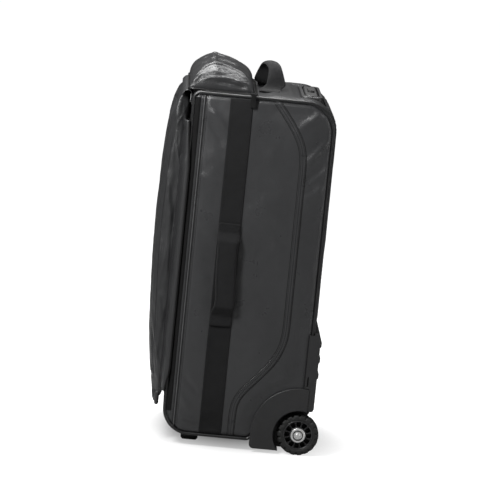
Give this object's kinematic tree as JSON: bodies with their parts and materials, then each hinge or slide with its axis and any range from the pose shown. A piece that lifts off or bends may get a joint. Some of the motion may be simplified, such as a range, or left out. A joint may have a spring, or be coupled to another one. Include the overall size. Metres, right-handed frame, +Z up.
{
  "type": "rolling duffel bag",
  "caption": "Upright wheeled duffel of dark coated cloth with a deep padded lid, side and end carry handles, moulded wheel housings and a telescopic pull handle.",
  "frame": {"origin": "on the floor under the centre of the bag's overall box", "axes": "+Z up, +X from the lid towards the wheels and pull handle, Y along the wheel axle"},
  "size_m": [0.3701, 0.382, 0.7859],
  "materials": {
    "side_cloth": "coated woven cloth, semi-matt",
    "wrap_cloth": "coated woven cloth, semi-gloss",
    "lid_cloth": "coated woven cloth, satin",
    "pocket_cloth": "coated cloth, glossy",
    "piping": "corded edge binding, satin",
    "webbing": "woven webbing, matt",
    "zip_tape": "woven tape, matt",
    "zip_metal": "black lacquer",
    "moulding": "fine moulded texture",
    "board": "smooth sheet",
    "tyre": "moulded rubber",
    "rim": "satin black",
    "hub_cap": "bright",
    "bearing": "smooth",
    "steel": "bright zinc",
    "black_screw": "black oxide",
    "tube": "anodised grey",
    "grip": "soft-touch"
  },
  "bodies": {
    "bag": {"side_panel_left": "side_cloth", "side_panel_right": "side_cloth", "gusset": "wrap_cloth", "front_panel": "wrap_cloth", "end_pocket": "pocket_cloth", "piping_left": "piping", "piping_right": "piping", "side_strap_left": "webbing", "side_strap_right": "webbing", "side_handle_left": "webbing", "side_handle_right": "webbing", "top_handle": "webbing", "main_zip_tape": "zip_tape", "pocket_zip_tape": "zip_tape", "wheel_housing_left": "moulding", "wheel_housing_right": "moulding", "foot_left": "moulding", "foot_right": "moulding", "kick_plate": "moulding", "bezel": "moulding", "tube_bracket": "moulding", "back_board": "board", "base_board": "board", "axle_bolt_left": "steel", "axle_bolt_right": "steel", "housing_screws": "black_screw", "kick_plate_screws": "black_screw", "foot_screws": "black_screw", "bezel_screws": "black_screw", "outer_tube_left": "tube", "outer_tube_right": "tube"},
    "lid": {"lid_pad": "lid_cloth", "lid_hem": "piping", "lid_tab": "webbing"},
    "wheel_left": {"tyre_left": "tyre", "wheel_rim_left": "rim", "hub_cap_left": "hub_cap", "wheel_bearings_left": "bearing"},
    "wheel_right": {"tyre_right": "tyre", "wheel_rim_right": "rim", "hub_cap_right": "hub_cap", "wheel_bearings_right": "bearing"},
    "handle_mid": {"mid_tube_left": "tube", "mid_tube_right": "tube"},
    "handle_top": {"inner_tube_left": "tube", "inner_tube_right": "tube", "grip": "grip", "tube_plugs": "moulding", "release_springs": "steel"},
    "release": {"release_button": "grip", "push_rods": "steel"},
    "latches": {"latch_bolts": "steel"},
    "main_slider_left": {"main_zip_slider_left": "zip_metal"},
    "main_slider_right": {"main_zip_slider_right": "zip_metal"},
    "pocket_slider": {"pocket_zip_slider": "zip_metal"},
    "pocket_pull": {"pocket_zip_pull": "zip_metal"}
  },
  "joints": [
    {"name": "lid_hinge", "type": "hinge", "parent": "bag", "child": "lid", "pos_m": [-0.15, 0, 0.729], "axis": [0, 1, 0], "range_deg": [0, 100]},
    {"name": "wheel_left_spin", "type": "hinge", "parent": "bag", "child": "wheel_left", "pos_m": [0.1425, 0.1575, 0.0425], "axis": [0, 1, 0], "continuous": true},
    {"name": "wheel_right_spin", "type": "hinge", "parent": "bag", "child": "wheel_right", "pos_m": [0.1425, -0.1575, 0.0425], "axis": [0, 1, 0], "continuous": true},
    {"name": "handle_stage_1", "type": "slide", "parent": "bag", "child": "handle_mid", "axis": [0, 0, 1], "range_m": [0, 0.19]},
    {"name": "handle_stage_2", "type": "slide", "parent": "handle_mid", "child": "handle_top", "axis": [0, 0, 1], "range_m": [0, 0.19]},
    {"name": "button_press", "type": "slide", "parent": "handle_top", "child": "release", "axis": [0, 0, -1], "range_m": [0, 0.004], "stiffness_N_per_m": 500, "springref_m": -0.01, "deforming": ["release_springs"]},
    {"name": "latch_retract", "type": "slide", "parent": "handle_top", "child": "latches", "axis": [1, 0, 0], "range_m": [0, 0.002]},
    {"name": "main_zip_left", "type": "slide", "parent": "bag", "child": "main_slider_left", "axis": [0, 1, 0], "range_m": [0, 0.08]},
    {"name": "main_zip_right", "type": "slide", "parent": "bag", "child": "main_slider_right", "axis": [0, -1, 0], "range_m": [0, 0.08]},
    {"name": "pocket_zip_run", "type": "slide", "parent": "bag", "child": "pocket_slider", "axis": [-1, 0, 0], "range_m": [0, 0.095]},
    {"name": "pocket_pull_swing", "type": "hinge", "parent": "pocket_slider", "child": "pocket_pull", "pos_m": [-0.015, -0.1682, 0.7295], "axis": [-1, 0, 0], "range_deg": [0, 100]}
  ],
  "couplings": [
    {"joint": "latch_retract", "follows": "button_press", "ratio": 0.5}
  ]
}
